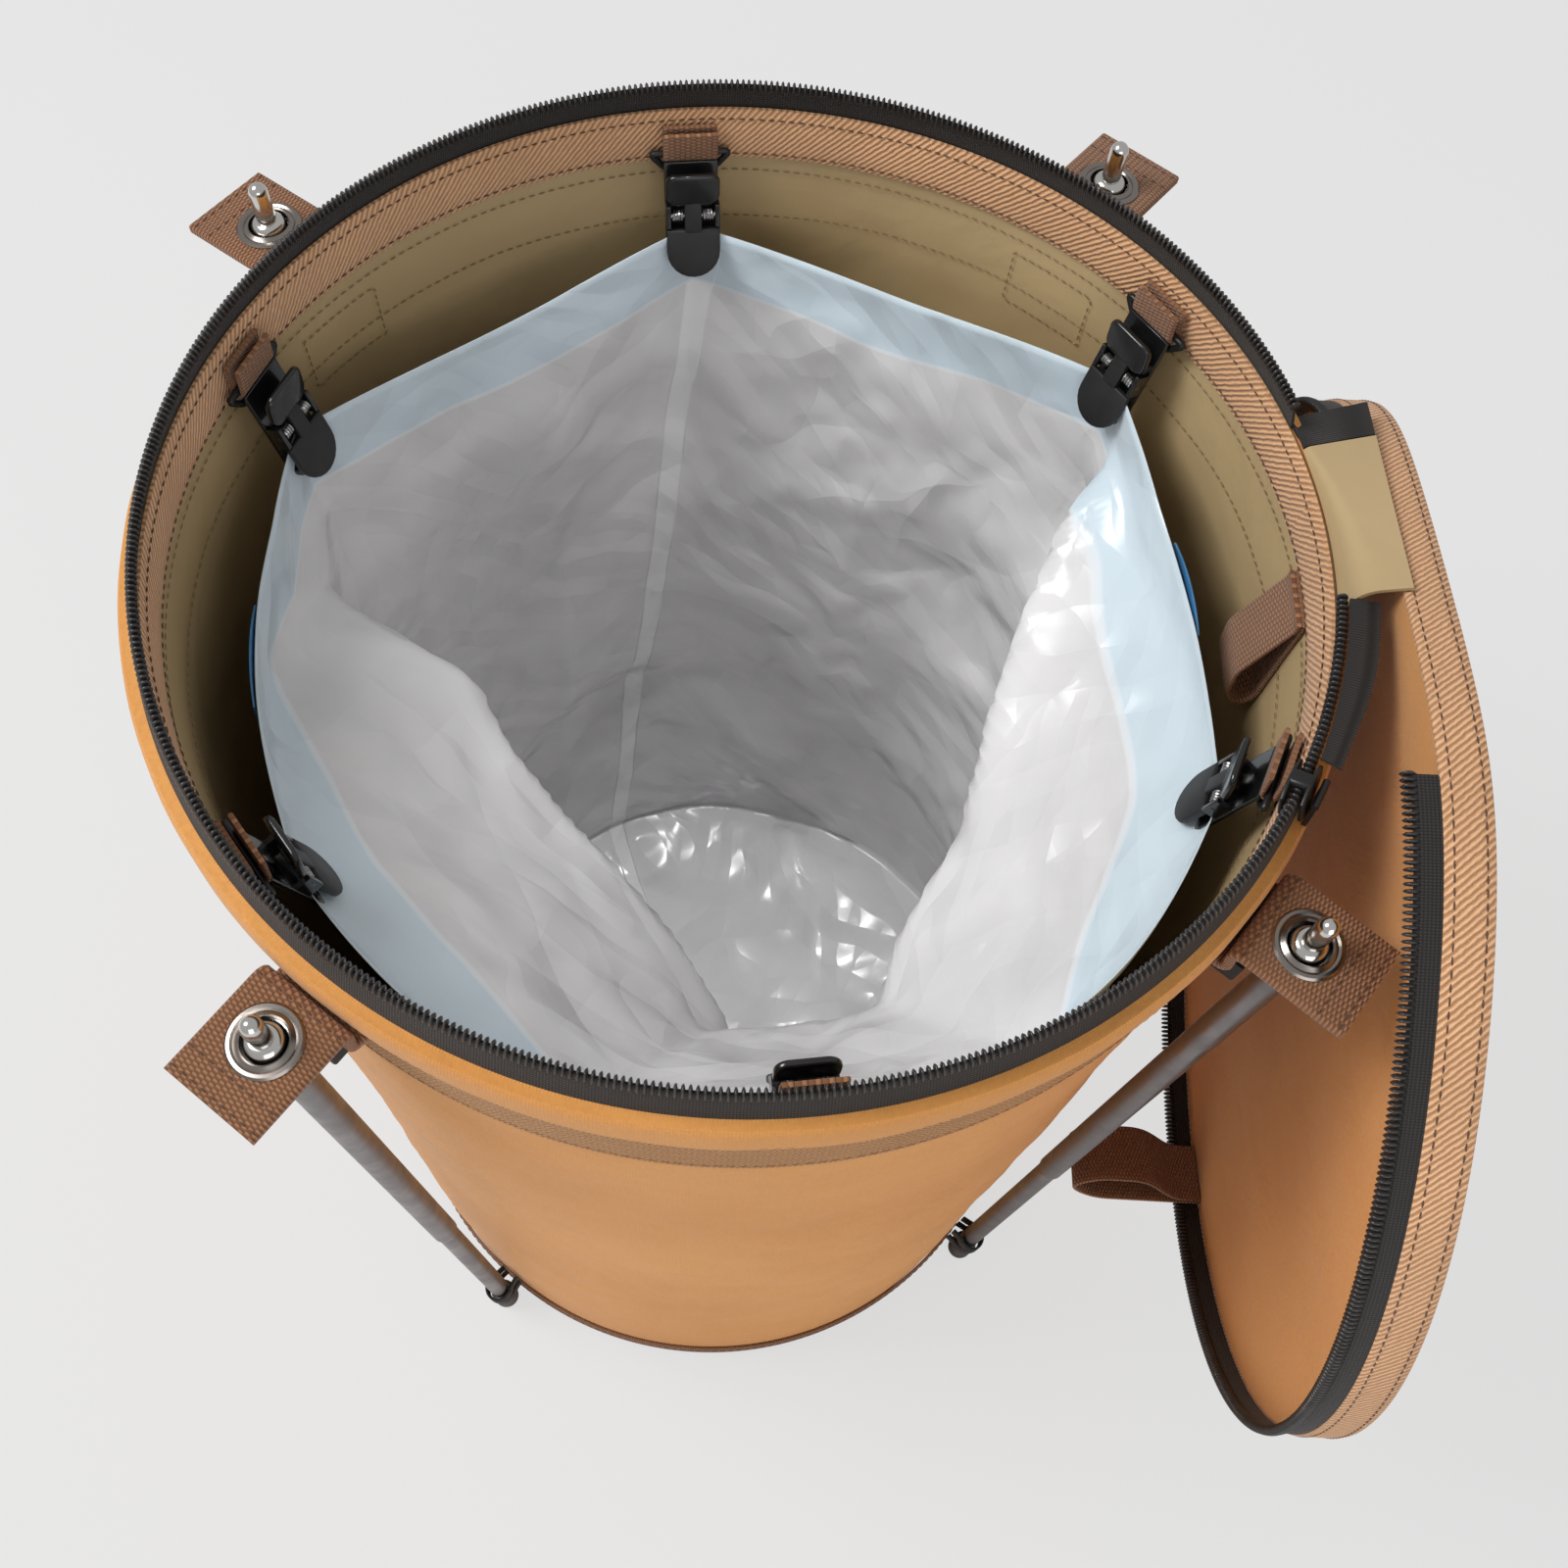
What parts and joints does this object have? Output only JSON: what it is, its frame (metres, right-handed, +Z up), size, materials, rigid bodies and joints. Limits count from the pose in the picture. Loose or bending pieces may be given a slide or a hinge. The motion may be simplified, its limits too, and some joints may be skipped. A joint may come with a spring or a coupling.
{
  "type": "collapsible camping trash can",
  "caption": "Collapsible round cloth bin on slim poles, with a clipped-in liner bag and a zip-off lid hanging open at its side.",
  "frame": {"origin": "centre of the base's underside, on the ground", "axes": "+Z up along the can's axis, +X towards the side where the open lid hangs, +Y to the left of that side"},
  "size_m": [0.3919, 0.4098, 0.4697],
  "materials": {
    "ochre_canvas": "coated cotton canvas, plain weave",
    "tan_lining": "coated khaki cloth, slight sheen",
    "brown_twill": "brown twill tape, diagonal weave",
    "brown_webbing": "brown ribbed webbing",
    "black_tape": "black woven tape",
    "zip_coil": "black nylon coil",
    "black_metal": "black lacquered metal",
    "board": "grey stiffener board",
    "spring_steel": "bright spring steel",
    "nickel": "dark nickel plate",
    "pole_aluminium": "grey anodised",
    "bright_tip": "polished",
    "dark_cap": "dark grey moulded cap",
    "black_plastic": "black moulded plastic",
    "liner_film": "thin milky film",
    "blue_drawstring": "blue film strip"
  },
  "bodies": {
    "can": {"canvas_wall": "ochre_canvas", "lining_wall": "tan_lining", "base_panel": "ochre_canvas", "base_board": "board", "base_binding": "brown_webbing", "webbing_band": "ochre_canvas", "hem_band": "ochre_canvas", "rim_hoop": "spring_steel", "twill_band": "brown_twill", "body_zip_tape": "black_tape", "body_zip_coil": "zip_coil", "hinge_panel": "tan_lining", "joined_zip_tape": "black_tape", "zip_end_stop": "black_tape", "inner_loop": "brown_webbing", "liner": "liner_film", "liner_drawstring": "blue_drawstring", "grommets": "nickel", "pole_feet": "dark_cap", "foot_loops": "black_tape", "pole_keepers": "black_tape", "clip_frames": "black_plastic", "clip_pins": "spring_steel", "clip_springs": "spring_steel", "clip_rings": "black_metal", "clip_slings": "brown_webbing", "pole_tab_1": "brown_webbing", "pole_tab_2": "brown_webbing", "pole_tab_3": "brown_webbing", "pole_tab_4": "brown_webbing", "pole_lower_1": "pole_aluminium", "pole_lower_2": "pole_aluminium", "pole_lower_3": "pole_aluminium", "pole_lower_4": "pole_aluminium"},
    "pole_1": {"pole_upper_1": "pole_aluminium", "pole_tip_1": "bright_tip"},
    "pole_2": {"pole_upper_2": "pole_aluminium", "pole_tip_2": "bright_tip"},
    "pole_3": {"pole_upper_3": "pole_aluminium", "pole_tip_3": "bright_tip"},
    "pole_4": {"pole_upper_4": "pole_aluminium", "pole_tip_4": "bright_tip"},
    "jaw_1": {"clip_jaw_1": "black_plastic"},
    "jaw_2": {"clip_jaw_2": "black_plastic"},
    "jaw_3": {"clip_jaw_3": "black_plastic"},
    "jaw_4": {"clip_jaw_4": "black_plastic"},
    "jaw_5": {"clip_jaw_5": "black_plastic"},
    "jaw_6": {"clip_jaw_6": "black_plastic"},
    "lid": {"lid_panel": "ochre_canvas", "lid_lining": "tan_lining", "lid_binding": "brown_twill", "lid_zip_tape": "black_tape", "lid_zip_coil": "zip_coil", "lid_loop": "brown_webbing"},
    "slider": {"zip_slider": "black_metal"},
    "pull": {"zip_pull": "black_metal"}
  },
  "joints": [
    {"name": "pole_1_slide", "type": "slide", "parent": "can", "child": "pole_1", "axis": [0.0658, 0.0658, 0.9957], "range_m": [-0.125, 0]},
    {"name": "pole_2_slide", "type": "slide", "parent": "can", "child": "pole_2", "axis": [-0.0658, 0.0658, 0.9957], "range_m": [-0.125, 0]},
    {"name": "pole_3_slide", "type": "slide", "parent": "can", "child": "pole_3", "axis": [-0.0658, -0.0658, 0.9957], "range_m": [-0.125, 0]},
    {"name": "pole_4_slide", "type": "slide", "parent": "can", "child": "pole_4", "axis": [0.0658, -0.0658, 0.9957], "range_m": [-0.125, 0]},
    {"name": "clip_1_open", "type": "hinge", "parent": "can", "child": "jaw_1", "pos_m": [0.12843, 0.07415, 0.40859], "axis": [-0.5, 0.866, 0], "range_deg": [0, 15], "stiffness_Nm_per_rad": 0.08, "springref_deg": -20.05},
    {"name": "clip_2_open", "type": "hinge", "parent": "can", "child": "jaw_2", "pos_m": [0, 0.1483, 0.40859], "axis": [-1, 0, 0], "range_deg": [0, 15], "stiffness_Nm_per_rad": 0.08, "springref_deg": -20.05},
    {"name": "clip_3_open", "type": "hinge", "parent": "can", "child": "jaw_3", "pos_m": [-0.12843, 0.07415, 0.40859], "axis": [-0.5, -0.866, 0], "range_deg": [0, 15], "stiffness_Nm_per_rad": 0.08, "springref_deg": -20.05},
    {"name": "clip_4_open", "type": "hinge", "parent": "can", "child": "jaw_4", "pos_m": [-0.12843, -0.07415, 0.40859], "axis": [0.5, -0.866, 0], "range_deg": [0, 15], "stiffness_Nm_per_rad": 0.08, "springref_deg": -20.05},
    {"name": "clip_5_open", "type": "hinge", "parent": "can", "child": "jaw_5", "pos_m": [0, -0.1483, 0.40859], "axis": [1, 0, 0], "range_deg": [0, 15], "stiffness_Nm_per_rad": 0.08, "springref_deg": -20.05},
    {"name": "clip_6_open", "type": "hinge", "parent": "can", "child": "jaw_6", "pos_m": [0.12843, -0.07415, 0.40859], "axis": [0.5, 0.866, 0], "range_deg": [0, 15], "stiffness_Nm_per_rad": 0.08, "springref_deg": -20.05},
    {"name": "lid_hinge", "type": "hinge", "parent": "can", "child": "lid", "pos_m": [0.16539, -0.04855, 0.47498], "axis": [-0.2839, -0.9527, 0.1084], "range_deg": [0, 266.28]},
    {"name": "zip_travel", "type": "hinge", "parent": "can", "child": "slider", "pos_m": [0, 0, 0.445], "axis": [0, 0, 1], "range_deg": [-308, 0]},
    {"name": "pull_flip", "type": "hinge", "parent": "slider", "child": "pull", "pos_m": [0.13831, -0.09865, 0.44819], "axis": [-0.5807, -0.8141, 0], "range_deg": [-3, 150]}
  ]
}
